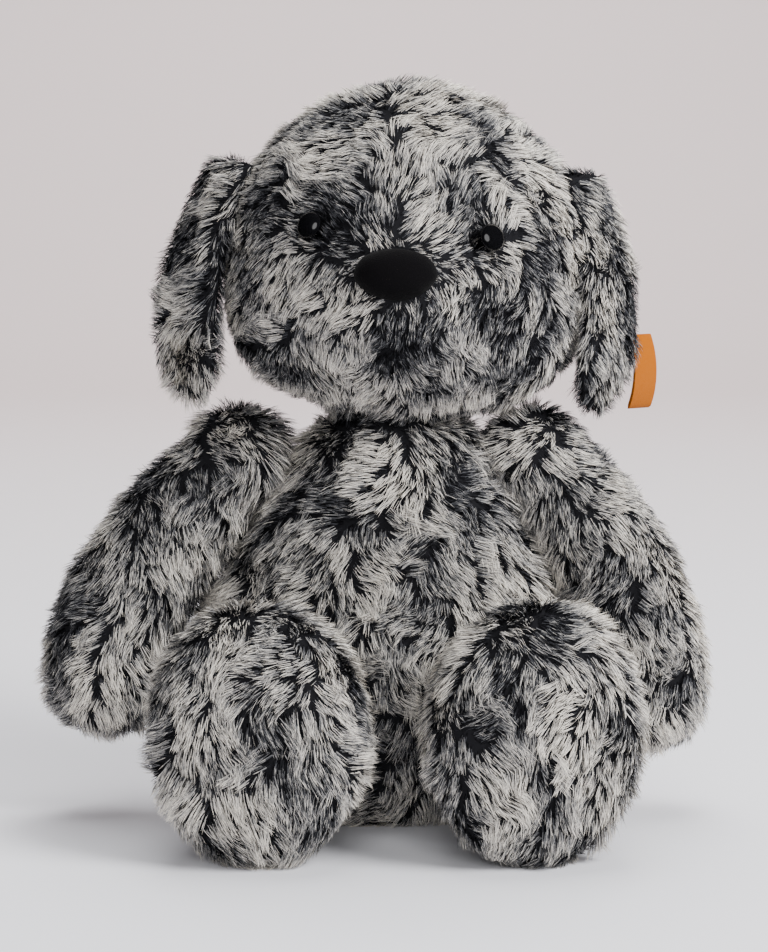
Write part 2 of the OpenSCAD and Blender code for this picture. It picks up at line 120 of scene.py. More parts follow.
# %% [markdown]
# ## The camera
# A long lens a little above the toy's middle keeps its proportions true. The camera looks slightly down,
# so the toes come forward and the seat stays hidden. Its place is worked out from the frame's own height.

# %% Camera
LENS = 106.5
SENSOR = 36
REACH_SHARE = 3.9
HEIGHT_SHARE = 0.966
DOWN_DEGREES = 7.3
tall = cad_high.z - cad_low.z
camera_data = bpy.data.cameras.new("camera")
camera_data.lens = LENS
camera_data.sensor_width = SENSOR
camera_data.clip_start = 0.05
camera = bpy.data.objects.new("camera", camera_data)
bpy.context.scene.collection.objects.link(camera)
camera_reach = REACH_SHARE * tall
camera_down = math.radians(DOWN_DEGREES)
camera.location = (0, -camera_reach, HEIGHT_SHARE * tall)
camera.rotation_euler = (math.pi / 2 - camera_down, 0, 0)
bpy.context.scene.camera = camera
print("camera at", [round(v, 3) for v in camera.location])

# %% [markdown]
# ## Smooth noise for patches and flow
# The fur's light ridges, dark partings and swirls all come from smooth noise. A sum of a few sine waves
# in random directions gives that, at any size, with a seed that always gives the same toy.


# %% Waves
def make_waves(seed, sizes, count=10):
    """Random sine waves. sizes are the typical patch sizes along x, y and z."""
    rng = np.random.default_rng(seed)
    ways = unit(rng.normal(size=(count, 3)))
    steps = rng.uniform(0.6, 1.4, (count, 1))
    return ways * steps * math.pi / np.array(sizes), rng.uniform(0, 2 * math.pi, count)


def wave_value(points, waves):
    """Smooth noise at the points, mostly between -2 and 2."""
    ways, phases = waves
    return np.sin(points @ ways.T + phases).sum(1) / math.sqrt(len(phases) / 2)


RIDGE = [make_waves(11, (6 * MM, 6 * MM, 15 * MM)), make_waves(12, (14 * MM, 14 * MM, 24 * MM))]
PATCH = make_waves(21, (17 * MM, 17 * MM, 21 * MM))
SWIRL = [make_waves(31, (26 * MM, 26 * MM, 26 * MM)), make_waves(32, (9 * MM, 9 * MM, 9 * MM))]
WARP = [make_waves(41 + k, (34 * MM, 34 * MM, 34 * MM)) for k in range(3)]

# %% [markdown]
# ## Fabric finishes
# Every fabric here has a fine mottle. One node group makes it, so each material only gives it a scale and
# two values. The strands' tones are plain colours, one material for each step from the near-black root to
# the cream tip, because a strand is far too thin to hold a painted gradient. Which tone a stretch of a
# strand has is chosen later.


# %% Shared mottle group
def socket(group, name, way, kind="NodeSocketFloat", value=None):
    """Adds a named socket to a node group."""
    made = group.interface.new_socket(name=name, in_out=way, socket_type=kind)
    if value is not None:
        made.default_value = value


mottle = bpy.data.node_groups.new("fine_mottle", "ShaderNodeTree")
socket(mottle, "Scale", "INPUT", value=400.0)
socket(mottle, "Low", "INPUT", value=0.5)
socket(mottle, "High", "INPUT", value=0.7)
socket(mottle, "Value", "OUTPUT")
inside = mottle.nodes
g_in, g_out = inside.new("NodeGroupInput"), inside.new("NodeGroupOutput")
place = inside.new("ShaderNodeTexCoord")
noise = inside.new("ShaderNodeTexNoise")
noise.inputs["Detail"].default_value = 3
spread = inside.new("ShaderNodeMapRange")
spread.inputs["From Min"].default_value = 0.3
spread.inputs["From Max"].default_value = 0.7
mottle.links.new(place.outputs["Object"], noise.inputs["Vector"])
mottle.links.new(g_in.outputs["Scale"], noise.inputs["Scale"])
mottle.links.new(noise.outputs["Fac"], spread.inputs["Value"])
mottle.links.new(g_in.outputs["Low"], spread.inputs["To Min"])
mottle.links.new(g_in.outputs["High"], spread.inputs["To Max"])
mottle.links.new(spread.outputs["Result"], g_out.inputs["Value"])


# %% Materials
def fabric(name, color, rough=(0.55, 0.75), scale=400.0, specular=0.3, **values):
    """A Principled material whose roughness comes from the mottle group."""
    m = bpy.data.materials.new(name)
    m.use_nodes = True
    tree = m.node_tree
    shader = tree.nodes["Principled BSDF"]
    shader.inputs["Base Color"].default_value = (*color, 1)
    shader.inputs["Specular IOR Level"].default_value = specular
    for key, value in values.items():
        shader.inputs[key.replace("_", " ").title()].default_value = value
    group = tree.nodes.new("ShaderNodeGroup")
    group.node_tree = mottle
    group.inputs["Scale"].default_value = scale
    group.inputs["Low"].default_value = rough[0]
    group.inputs["High"].default_value = rough[1]
    tree.links.new(group.outputs["Value"], shader.inputs["Roughness"])
    return m


FUR_TONES = [
    (0.004, 0.004, 0.005),
    (0.014, 0.0142, 0.017),
    (0.046, 0.047, 0.053),
    (0.135, 0.135, 0.139),
    (0.26, 0.253, 0.248),
    (0.42, 0.4, 0.375),
    (0.58, 0.545, 0.5),
    (0.74, 0.69, 0.62),
    (0.87, 0.81, 0.715),
]
fur_materials = []
for k, tone in enumerate(FUR_TONES):
    fur_materials.append(fabric(f"fur_tone_{k + 1}", tone, specular=0.08 + 0.02 * k))
backing = fabric("fur_backing", (0.01, 0.01, 0.0115), (0.8, 0.95), specular=0.05)
print(len(fur_materials), "fur tones")

# %% [markdown]
# ## The stuffed forms
# A stuffed piece is a bag of fabric that its filling pushes out everywhere but at the seams. Each form is
# made from its CAD panels, its filling and its gathered top: they are copied, joined, melted into one
# skin by a voxel remesh and moved out a little, so that neighbouring forms press together. Then Blender's
# cloth swells the skin with a little pressure, with the seams held, so they stay as shallow grooves, and
# the swelling is capped so that the toy keeps its size.

# %% Which CAD nodes make each form
SIDES = ("left", "right")
forms = {
    "torso": ["seat_panel", "belly_panel_left", "belly_panel_right", "back_panel_left", "back_panel_right",
              "torso_filling"],
    "head": ["crown_panel", "cheek_panel_left", "cheek_panel_right", "muzzle_panel_left",
             "muzzle_panel_right", "chin_panel", "head_filling", "neck_gather"],
    "tail": ["tail_top", "tail_under", "tail_filling", "tail_gather"],
}
for side in SIDES:
    forms[f"ear_{side}"] = [f"ear_outer_{side}", f"ear_lining_{side}"]
    forms[f"arm_{side}"] = [f"arm_outer_{side}", f"arm_inner_{side}", f"arm_filling_{side}",
                            f"shoulder_gather_{side}"]
    forms[f"leg_{side}"] = [f"leg_top_{side}", f"leg_under_{side}", f"sole_{side}", f"leg_filling_{side}",
                            f"hip_gather_{side}"]
VOXEL = {"ear_left": 2.5 * MM, "ear_right": 2.5 * MM, "tail": 3 * MM}
OUTWARD = {"ear_left": 1 * MM, "ear_right": 1 * MM, "head": 2.2 * MM}
USUAL_VOXEL = 4 * MM
USUAL_OUTWARD = 0.8 * MM
SWELL = 2.0 * MM
WELD = 0.01 * MM
EASE_TIMES = 3
SEAM_HALF_WIDE = 1.6 * MM
SEAM_HELD = 0.3
CLOTH_QUALITY = 4
CLOTH_MASS = 0.3
STUFFING_PRESSURE = 4
LAST_STEP = 12


# %% Melt the panels and the filling into one skin
def melt(name, cad_names):
    """One closed skin from copies of CAD nodes, moved out a little."""
    select_only(*[nodes[n] for n in cad_names])
    bpy.ops.object.duplicate()
    copies = bpy.context.selected_objects
    for o in copies:
        o.parent = None
    select_only(*copies)
    if len(copies) > 1:
        bpy.ops.object.join()
    skin = bpy.context.object
    skin.name = skin.data.name = f"{name}_fabric"
    for key in list(skin.keys()):
        if key.startswith("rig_"):
            del skin[key]
    bpy.ops.object.mode_set(mode="EDIT")
    bpy.ops.mesh.select_all(action="SELECT")
    bpy.ops.mesh.remove_doubles(threshold=WELD)
    bpy.ops.object.mode_set(mode="OBJECT")
    melted = skin.modifiers.new("melt", "REMESH")
    melted.mode = "VOXEL"
    melted.voxel_size = VOXEL.get(name, USUAL_VOXEL)
    smooth = skin.modifiers.new("ease", "SMOOTH")
    smooth.iterations = EASE_TIMES
    outward = skin.modifiers.new("outward", "DISPLACE")
    outward.strength = OUTWARD.get(name, USUAL_OUTWARD)
    outward.mid_level = 0
    apply_all(skin)
    skin.data.materials.clear()
    skin.data.materials.append(backing)
    return skin


def seam_share(skin, cad_names):
    """For each point of the skin, 1 on a seam between two panels and 0 away from it."""
    panels = [n for n in cad_names if "filling" not in n and "gather" not in n]
    if len(panels) < 2:
        return np.zeros(len(skin.data.vertices))
    trees = [BVHTree.FromPolygons([v.co for v in nodes[n].data.vertices],
                                  [p.vertices for p in nodes[n].data.polygons]) for n in panels]
    near = np.array([sorted(t.find_nearest(v.co)[3] for t in trees)[:2] for v in skin.data.vertices])
    return np.clip(1.6 - (near[:, 1] - near[:, 0]) / SEAM_HALF_WIDE, 0, 1)


def swell(skin, seam):
    """Cloth with a little pressure, seams held, and no point moved further than the cap."""
    before = mesh_points(skin)
    held = skin.vertex_groups.new(name="seam")
    for i in np.nonzero(seam > SEAM_HELD)[0]:
        held.add([int(i)], float(seam[i]), "REPLACE")
    cloth = skin.modifiers.new("stuffing", "CLOTH")
    cloth.settings.quality = CLOTH_QUALITY
    cloth.settings.mass = CLOTH_MASS
    cloth.settings.use_pressure = True
    cloth.settings.uniform_pressure_force = STUFFING_PRESSURE
    cloth.settings.effector_weights.gravity = 0
    cloth.settings.vertex_group_mass = "seam"
    scene = bpy.context.scene
    for step in range(1, LAST_STEP + 1):
        scene.frame_set(step)
    apply_all(skin)
    scene.frame_set(1)
    moved = mesh_points(skin) - before
    far = np.linalg.norm(moved, axis=1, keepdims=True)
    moved *= np.minimum(1, SWELL / np.maximum(far, 1e-9))
    set_points(skin, before + moved)
    skin.vertex_groups.clear()


# %% Make every form
skins = {}
seams = {}
for name, cad_names in forms.items():
    skin = melt(name, cad_names)
    seam = seam_share(skin, cad_names)
    swell(skin, seam)
    skin.data.attributes.new("seam", "FLOAT", "POINT").data.foreach_set("value", seam.astype(np.float32))
    fine = skin.modifiers.new("finer", "SUBSURF")
    fine.levels = fine.render_levels = 1
    apply_all(skin)
    points = mesh_points(skin)
    points[:, 2] = np.maximum(points[:, 2], 0)
    set_points(skin, points)
    bpy.ops.object.shade_smooth()
    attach(skin, name)
    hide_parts(*cad_names)
    skins[name] = skin
    print(name, len(skin.data.polygons), "faces")

# %% [markdown]
# ## How the pile lies
# Pile is brushed one way when the fabric is cut, and handling then swirls it. On the torso, limbs and
# ears it falls downwards. On the face it fans out from the nose, and it parts at the seam below the nose.
# A rule for each form gives the lie, the length and the shade at any point.

# %% Places on the face
nose_at = middle("nose")
nose_low, nose_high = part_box("nose")
eyes_at = [middle(f"eye_{side}") for side in SIDES]
nose_wide = nose_high.x - nose_low.x
nose_tall = nose_high.z - nose_low.z
DOWN = np.array((0.0, 0.0, -1.0))
BACK = np.array((0.0, 1.0, 0.0))
PILE = 11 * MM
EYE_CLEAR = 5.2 * MM
FACE_WIDE = 62 * MM
BROW_LIGHT = 0.25

# How much darker or lighter, from which place, the offset in mm and the half-widths in mm.
FACE_SPOTS = [
    (-0.9, nose_at, (-4, 6, 18), (16, 30, 10)),
    (-1.3, nose_at, (14, 6, -33), (15, 30, 11)),
    (-1.1, nose_at, (-2, 6, -20), (4, 30, 16)),
    (-0.7, eyes_at[1], (0, 0, 2), (13, 20, 12)),
    (-0.6, eyes_at[0], (2, 0, 6), (11, 20, 10)),
    (0.5, nose_at, (24, 8, 8), (8, 30, 14)),
]


def spot(points, at, wide):
    """1 at a place, falling smoothly to 0 outside it."""
    return np.exp(-(((points - at) / wide) ** 2).sum(1))


# %% Lie, length and shade rules
def lie_head(p, n):
    """Fans out from the nose over the face, then falls down and back."""
    out = p - nose_at
    near = np.exp(-(np.linalg.norm(out, axis=1) / FACE_WIDE) ** 2)[:, None]
    side = np.sign(out[:, :1]) * np.array([[1.0, 0, 0]])
    flow = near * unit(out) + (1 - near) * (0.9 * DOWN + 0.35 * BACK + 0.25 * side)
    below = ((out[:, 2] < -6 * MM) & (p[:, 1] < -30 * MM))[:, None] * np.exp(-(out[:, :1] / (9 * MM)) ** 2)
    flow = flow + 0.8 * below * side
    length = np.full(len(p), 0.8)
    flat = p - nose_at
    ring = np.sqrt((flat[:, 0] / (nose_wide / 2)) ** 2 + (flat[:, 2] / (nose_tall / 2)) ** 2)
    front = p[:, 1] < nose_at[1] + 22 * MM
    length = np.where(front & (ring < 2.0), 0.45 + 0.35 * np.clip(ring - 1, 0, 1), length)
    keep = ~(front & (ring < 0.86))
    for at in eyes_at:
        away = p - at
        far = np.linalg.norm(away, axis=1)
        close = np.exp(-(far / (10 * MM)) ** 2)
        flow = flow + 1.2 * close[:, None] * unit(away)
        length = length * (1 - 0.5 * close)
        keep &= far > EYE_CLEAR
    shade = np.zeros(len(p))
    for amount, at, away, wide in FACE_SPOTS:
        shade = shade + amount * spot(p, at + np.array(away) * MM, np.array(wide) * MM)
    shade += BROW_LIGHT * np.clip((p[:, 2] - nose_at[2]) / (20 * MM), 0, 1)
    return flow, length, shade, keep


def lie_torso(p, n):
    """Falls down the front, drawn outwards a little, and straight down the back."""
    side = np.sign(p[:, :1] - 4 * MM) * np.array([[1.0, 0, 0]])
    flow = DOWN + 0.35 * side * (p[:, 1:2] < 0)
    flank = np.clip((np.abs(n[:, 0]) - 0.6) / 0.3, 0, 1) * np.clip((p[:, 2] - 50 * MM) / (20 * MM), 0, 1)
    return flow, 1 + 0.35 * flank, np.zeros(len(p)), np.full(len(p), True)


def lie_limb(p, n):
    """Falls down, along the limb. It is longer on the side that meets the body."""
    inner = np.clip(-n[:, 0] * np.sign(p[:, 0]) - 0.3, 0, 0.6)
    flow = DOWN + 0.15 * BACK + np.zeros_like(p)
    return flow, 0.95 + 0.8 * inner, np.full(len(p), -0.06), np.full(len(p), True)


def lie_leg(p, n):
    """Falls down the sole and the sides of the leg, drawn forward a little."""
    flow = DOWN - 0.25 * BACK + np.zeros_like(p)
    return flow, np.full(len(p), 0.95), np.full(len(p), 0.08), np.full(len(p), True)


def lie_ear(p, n):
    """Falls down the ear."""
    return DOWN + np.zeros_like(p), np.full(len(p), 0.85), np.full(len(p), -0.25), np.full(len(p), True)


# %% [markdown]
# ## Growing the strands
# Hair particles can't be exported, so each strand is a thin ribbon of two quads and a point. Strands grow
# in tufts: every root belongs to the nearest tuft, and the tips of a tuft are drawn together. Where the
# ridge noise is high the tufts stand up and show their light tips, and where it is low they lie flat and
# show their dark roots. The tufts also lean towards the nearest ridge, so ridges and partings are real
# shapes and not only colours.


# %% Scatter roots over a skin
def scatter(skin, per_cm2, rng):
    """Random roots on the skin: place, normal and seam share."""
    mesh = skin.data
    mesh.calc_loop_triangles()
    count = len(mesh.loop_triangles)
    corner = np.zeros(count * 3, np.int32)
    mesh.loop_triangles.foreach_get("vertices", corner)
    corner = corner.reshape(-1, 3)
    points = mesh_points(skin)
    normals = np.zeros(len(points) * 3, np.float32)
    mesh.vertex_normals.foreach_get("vector", normals)
    normals = normals.reshape(-1, 3)
    seam = np.zeros(len(points), np.float32)
    mesh.attributes["seam"].data.foreach_get("value", seam)
    a, b, c = (points[corner[:, k]] for k in range(3))
    area = np.linalg.norm(np.cross(b - a, c - a), axis=1) / 2
    total = int(area.sum() * 10000 * per_cm2)
    edge = np.cumsum(area) / area.sum()
    pick = np.searchsorted(edge, (np.arange(total) + rng.random(total)) / total)
    u, v = rng.random(total), rng.random(total)
    flip = u + v > 1
    u, v = np.where(flip, 1 - u, u), np.where(flip, 1 - v, v)
    mix = np.stack([1 - u - v, u, v], 1)

    def blend(values):
        return sum(values[corner[pick, k]] * mix[:, k : k + 1] for k in range(3))

    return blend(points), unit(blend(normals)), blend(seam[:, None])[:, 0], area.sum() * 10000


# %% Tufts
PER_TUFT = 12
PER_LOCK = 9
APART = 5 * MM
LEAN_STEP = 2 * MM
LOCK_REACH = 9 * MM
LOCK_PULL = 0.38
TUFT_JITTER = 0.24
NOSE_RING = 34 * MM


def streak_place(name, p):
    """Where a point lies in the ridge noise. On the head it goes round the nose, so ridges run outwards."""
    warp = np.stack([wave_value(p, w) for w in WARP], 1) * 7 * MM
    if name != "head":
        return p + warp
    out = p - nose_at
    far = np.linalg.norm(out, axis=1)
    turn = np.arctan2(out[:, 2], out[:, 0])
    face = np.exp(-(far / (80 * MM)) ** 4)[:, None]
    round_nose = np.stack([NOSE_RING * np.cos(turn), NOSE_RING * np.sin(turn), far], 1)
    return face * round_nose + (1 - face) * p + warp


def ridge(name, p):
    """High on ridges of fur, low in the partings."""
    q = streak_place(name, p)
    return 0.8 * wave_value(q, RIDGE[0]) + 0.6 * wave_value(q, RIDGE[1])


def tufts_of(name, rule, p, n, seam, rng):
    """The tuft for each centre: its lie, rise, length, shade and the place of its tip."""
    flow, length, shade, keep = rule(p, n)
    flow = flow - (flow * n).sum(1, keepdims=True) * n
    flow = unit(flow)
    across = np.cross(n, flow)
    swirl = 0.65 * wave_value(p, SWIRL[0]) + 0.4 * wave_value(p, SWIRL[1])
    high = ridge(name, p)
    lean_across = (ridge(name, p + across * LEAN_STEP) - ridge(name, p - across * LEAN_STEP)) / 2
    sideways = (np.sin(swirl) + 0.6 * np.clip(lean_across, -1, 1))[:, None]
    jitter = rng.normal(size=p.shape) * TUFT_JITTER
    flow = unit(flow * np.cos(swirl)[:, None] + across * sideways + jitter)
    flow = unit(flow - (flow * n).sum(1, keepdims=True) * n)
    height = np.tanh(0.9 * high)
    rise = np.clip(0.46 + 0.15 * height + rng.normal(size=len(p)) * 0.1 - 0.12 * seam, 0.12, 0.85)
    length = PILE * length * (0.88 + 0.16 * height + rng.normal(size=len(p)) * 0.1)
    shade = shade + 0.15 + 0.62 * height + 0.5 * wave_value(p, PATCH) - 0.4 * seam
    shade = shade + rng.normal(size=len(p)) * 0.22
    tip = p + length[:, None] * (rise[:, None] * n + np.sqrt(1 - rise**2)[:, None] * flow)
    return {"flow": flow, "rise": rise, "length": length, "shade": shade, "tip": tip, "keep": keep}


def gather_tufts(tuft, centre, centre_n, lock, lock_at, lock_n):
    """Draws the tufts of one lock together, so that locks of about a finger's width show."""
    tree = KDTree(len(lock_at))
    for i, c in enumerate(lock_at + lock_n * APART):
        tree.insert(c, i)
    tree.balance()
    mine = np.array([tree.find(q)[1] for q in centre + centre_n * APART])
    flow = 0.5 * tuft["flow"] + 0.6 * lock["flow"][mine]
    tuft["flow"] = unit(flow - (flow * centre_n).sum(1, keepdims=True) * centre_n)
    tuft["rise"] = 0.6 * tuft["rise"] + 0.4 * lock["rise"][mine]
    tuft["shade"] = 0.6 * tuft["shade"] + 0.4 * lock["shade"][mine]
    rise, length = tuft["rise"][:, None], tuft["length"][:, None]
    tip = centre + length * (rise * centre_n + np.sqrt(1 - rise**2) * tuft["flow"])
    pull = lock["tip"][mine] - tip
    pull *= np.minimum(1, LOCK_REACH / np.maximum(np.linalg.norm(pull, axis=1, keepdims=True), 1e-9))
    tuft["tip"] = tip + LOCK_PULL * pull


# %% Strands
STOPS = np.array([0.0, 0.4, 0.74, 1.0])
HALF_WIDTH = np.array([0.9, 1.0, 0.75]) * 0.155 * MM
STRAND_POINTS = 7
KNEE = 0.34
FLOOR_CLEAR = 0.2 * MM
EDGE_CLEAR = 0.1 * MM


def strand_points(root, n, tip, bend):
    """Points along each strand: a curve that leaves the fabric steeply and bends over to its tip."""
    reach = tip - root
    rise = np.linalg.norm(reach, axis=1, keepdims=True)
    knee = root + KNEE * reach + n * rise * bend
    s = STOPS[:, None, None]
    return (1 - s) ** 2 * root + 2 * s * (1 - s) * knee + s * s * tip


def ribbons(name, body, root, n, tip, bend, tone, rng):
    """One mesh of ribbons, each two quads and a point, with a tone for each stretch."""
    line = strand_points(root, n, tip, bend)
    line[:, :, 2] = np.maximum(line[:, :, 2], FLOOR_CLEAR)
    along = unit(tip - root)
    twist = unit(np.cross(along, n + 0.7 * rng.normal(size=n.shape)))
    facing = unit(np.cross(twist, along))
    wide = rng.uniform(0.7, 1.25, (len(root), 1))
    rows = []
    for k in range(3):
        rows += [line[k] - twist * wide * HALF_WIDTH[k], line[k] + twist * wide * HALF_WIDTH[k]]
    rows.append(line[3])
    verts = np.stack(rows, 1)
    verts[:, :, 2] = np.maximum(verts[:, :, 2], EDGE_CLEAR)
    shading = unit(0.6 * n + 0.5 * facing)
    shading = np.repeat(shading[:, None, :], STRAND_POINTS, 1)
    count = len(root)
    first = (np.arange(count) * STRAND_POINTS)[:, None]
    quads = np.stack([first + np.array([0, 1, 3, 2]), first + np.array([2, 3, 5, 4])], 1).reshape(-1, 4)
    ends = first + np.array([4, 5, 6])
    mesh = bpy.data.meshes.new(name)
    mesh.vertices.add(count * STRAND_POINTS)
    mesh.vertices.foreach_set("co", verts.astype(np.float32).ravel())
    loops = np.concatenate([quads.ravel(), ends.ravel()]).astype(np.int32)
    mesh.loops.add(len(loops))
    mesh.loops.foreach_set("vertex_index", loops)
    starts = np.concatenate([np.arange(len(quads)) * 4, len(quads) * 4 + np.arange(count) * 3])
    starts = starts.astype(np.int32)
    mesh.polygons.add(len(starts))
    mesh.polygons.foreach_set("loop_start", starts)
    index = np.concatenate([tone[:, :2].ravel(), tone[:, 2]]).astype(np.int32)
    for m in fur_materials:
        mesh.materials.append(m)
    mesh.polygons.foreach_set("material_index", index)
    mesh.update(calc_edges=True)
    mesh.polygons.foreach_set("use_smooth", np.ones(len(starts), bool))
    mesh.normals_split_custom_set_from_vertices(shading.reshape(-1, 3).astype(np.float32))
    fur = bpy.data.objects.new(name, mesh)
    bpy.context.scene.collection.objects.link(fur)
    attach(fur, body)
    return fur


# %% Grow the pile on a skin
MOST_STRANDS = 39500
TIP_PULL = 0.44
STRAND_JITTER = 0.22
UNDERCOAT = 0.1
UNDERCOAT_TONE = 0.22
UNDERCOAT_LONG = 0.55
ROOT_DEPTH = 0.8 * MM
RAMP = np.array([[0.02, 0.13, 0.31], [0.27, 0.73, 0.98]])


def everywhere(p):
    """The test for a skin whose pile is one piece."""
    return np.full(len(p), True)


def grow(name, rule, per_cm2, parts=None, seed=0):
    """Strands over one skin, split into parts so that no piece is too heavy."""
    rng = np.random.default_rng(seed)
    skin = skins[name]
    root, n, seam, area = scatter(skin, per_cm2, rng)
    centre, centre_n, centre_seam, _ = scatter(skin, per_cm2 / PER_TUFT, rng)
    tuft = tufts_of(name, rule, centre, centre_n, centre_seam, rng)
    lock_at, lock_n, lock_seam, _ = scatter(skin, per_cm2 / PER_TUFT / PER_LOCK, rng)
    lock = tufts_of(name, rule, lock_at, lock_n, lock_seam, rng)
    gather_tufts(tuft, centre, centre_n, lock, lock_at, lock_n)
    tree = KDTree(len(centre))
    for i, c in enumerate(centre + centre_n * APART):
        tree.insert(c, i)
    tree.balance()
    mine = np.array([tree.find(q)[1] for q in root + n * APART])
    rise = np.clip(tuft["rise"][mine] + rng.normal(size=len(root)) * 0.1, 0.1, 0.95)[:, None]
    length = (tuft["length"][mine] * rng.uniform(0.72, 1.12, len(root)))[:, None]
    flow = tuft["flow"][mine] + rng.normal(size=root.shape) * STRAND_JITTER
    flow = unit(flow - (flow * n).sum(1, keepdims=True) * n)
    tip = root + length * (rise * n + np.sqrt(1 - rise**2) * flow)
    tip = tip + TIP_PULL * (tuft["tip"][mine] - tip)
    light = np.clip(0.5 + 0.42 * tuft["shade"][mine] + rng.normal(size=len(root)) * 0.17, 0, 1)[:, None]
    value = RAMP[0] * (1 - light) + RAMP[1] * light + rng.normal(size=(len(root), 3)) * 0.04
    under = rng.random(len(root)) < UNDERCOAT
    value[under] = rng.uniform(0, UNDERCOAT_TONE, (under.sum(), 3))
    upright = unit(n[under] + 0.5 * flow[under] + 0.3 * rng.normal(size=(under.sum(), 3)))
    tip[under] = root[under] + UNDERCOAT_LONG * length[under] * upright
    tone = np.clip((value * len(FUR_TONES)).astype(int), 0, len(FUR_TONES) - 1)
    _, _, _, keep = rule(root, n)
    bend = rng.uniform(0.1, 0.22, (len(root), 1))
    root = root - n * ROOT_DEPTH
    made = []
    for part, test in (parts or {"": everywhere}).items():
        chosen = np.nonzero(keep & test(root))[0]
        if len(chosen) > MOST_STRANDS:
            chosen = np.sort(rng.permutation(chosen)[:MOST_STRANDS])
        title = f"{name}_fur{'_' + part if part else ''}"
        picked = (each[chosen] for each in (root, n, tip, bend, tone))
        made.append(ribbons(title, name, *picked, rng))
        print(title, len(chosen), "strands on", round(area), "cm2")
    return made


# %% Grow everything
quarter = {
    "front_left": lambda p: (p[:, 0] >= 0) & (p[:, 1] < 0),
    "front_right": lambda p: (p[:, 0] < 0) & (p[:, 1] < 0),
    "back_left": lambda p: (p[:, 0] >= 0) & (p[:, 1] >= 0),
    "back_right": lambda p: (p[:, 0] < 0) & (p[:, 1] >= 0),
}
DENSE = 122
rules = {"head": lie_head, "torso": lie_torso, "tail": lie_limb}
for side in SIDES:
    rules.update({f"ear_{side}": lie_ear, f"arm_{side}": lie_limb, f"leg_{side}": lie_leg})
strands = 0
for number, (name, rule) in enumerate(rules.items()):
    for fur in grow(name, rule, DENSE, quarter if name in ("head", "torso") else None, seed=100 + number):
        strands += len(fur.data.polygons) // 3
print(strands, "strands in all")

# %% [markdown]
# ## The nose
# The nose is a hard oval shell covered in very short black fibres, broad and flattened, and narrower
# below. A ball is scaled to the nose's own box and its lower half drawn in. The flock is a fine bump and
# a faint sheen, because its fibres are far too short to draw one by one.

# %% Nose
flock = fabric("nose_velvet", (0.0035, 0.0032, 0.0036), (0.85, 1.0), 900.0, 0.05,
               sheen_weight=0.03, sheen_roughness=0.4)
flock_tree = flock.node_tree
flock_grain = flock_tree.nodes.new("ShaderNodeGroup")
flock_grain.node_tree = mottle
flock_grain.inputs["Scale"].default_value = 1600
flock_grain.inputs["Low"].default_value = 0
flock_grain.inputs["High"].default_value = 1
flock_bump = flock_tree.nodes.new("ShaderNodeBump")
flock_bump.inputs["Strength"].default_value = 0.6
flock_bump.inputs["Distance"].default_value = 0.25 * MM
flock_tree.links.new(flock_grain.outputs["Value"], flock_bump.inputs["Height"])
flock_tree.links.new(flock_bump.outputs["Normal"], flock_tree.nodes["Principled BSDF"].inputs["Normal"])

nose_deep = nose_high.y - nose_low.y
bpy.ops.object.select_all(action="DESELECT")
bpy.ops.mesh.primitive_uv_sphere_add(segments=48, ring_count=32, radius=0.5, location=(0, 0, 0))
nose = bpy.context.object
nose.name = nose.data.name = "nose_cushion"
p = mesh_points(nose) * 2
square = np.abs(p[:, [0, 2]]).max(1) / np.maximum(np.hypot(p[:, 0], p[:, 2]), 1e-6)
p[:, [0, 2]] *= (1 + 0.16 * (1 - square))[:, None]
p[:, 0] *= np.where(p[:, 2] < 0, 1 - 0.3 * p[:, 2] ** 2, 1 - 0.06 * p[:, 2] ** 2)
p[:, 1] *= 1 + 0.1 * p[:, 2]
p *= np.array((nose_wide, nose_deep, nose_tall)) / 2
set_points(nose, p + nose_at)
nose.data.materials.append(flock)
bpy.ops.object.shade_smooth()
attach(nose, "head")
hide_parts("nose")

# %% [markdown]
# ## The eyes
# Each eye is a hard black dome with a polished face, on a shank that goes through the fabric to its
# washer. A ball is flattened to a dome and turned to look along its shank, and the shank is a thin
# cylinder joined to its back.

# %% Eyes
gloss = bpy.data.materials.new("eye_black")
gloss.use_nodes = True
gloss_shader = gloss.node_tree.nodes["Principled BSDF"]
gloss_shader.inputs["Base Color"].default_value = (0.003, 0.003, 0.0035, 1)
gloss_shader.inputs["Roughness"].default_value = 0.1
gloss_shader.inputs["Specular IOR Level"].default_value = 0.6
EYE_R = 6 * MM
EYE_RISE = 3.4 * MM
EYE_SINK = 2.2 * MM
SHANK_R = 1.8 * MM
SHANK_LONG = 12 * MM
SHANK_MID = (0, 0, -6.5 * MM)
for side, at in zip(SIDES, eyes_at):
    washer_at = middle(f"eye_washer_{side}")
    look = Vector(at - washer_at).normalized()
    bpy.ops.object.select_all(action="DESELECT")
    bpy.ops.mesh.primitive_uv_sphere_add(segments=40, ring_count=24, radius=EYE_R)
    eye = bpy.context.object
    eye.name = eye.data.name = f"eye_dome_{side}"
    p = mesh_points(eye)
    p[:, 2] *= np.where(p[:, 2] > 0, EYE_RISE / EYE_R, 0.2)
    set_points(eye, p)
    bpy.ops.mesh.primitive_cylinder_add(vertices=24, radius=SHANK_R, depth=SHANK_LONG, location=SHANK_MID)
    shank = bpy.context.object
    select_only(eye, shank)
    bpy.ops.object.join()
    outward = max((v.co - Vector(washer_at)).dot(look) for v in nodes[f"eye_{side}"].data.vertices)
    seat = Vector(washer_at) + look * (outward - EYE_RISE + EYE_SINK)
    eye.data.transform(Matrix.Translation(seat) @ look.to_track_quat("Z", "Y").to_matrix().to_4x4())
    eye.data.materials.clear()
    eye.data.materials.append(gloss)
    bpy.ops.object.shade_smooth_by_angle(angle=math.radians(40))
    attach(eye, "head")
    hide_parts(f"eye_{side}")
    print("eye", side, "faces", [round(v, 2) for v in look])

# %% [markdown]
# ## Washers and threads
# The washers are moulded plastic and the threads are twisted, and both keep their CAD shapes. They only
# need their finish, which goes into the slot the CAD node already has.


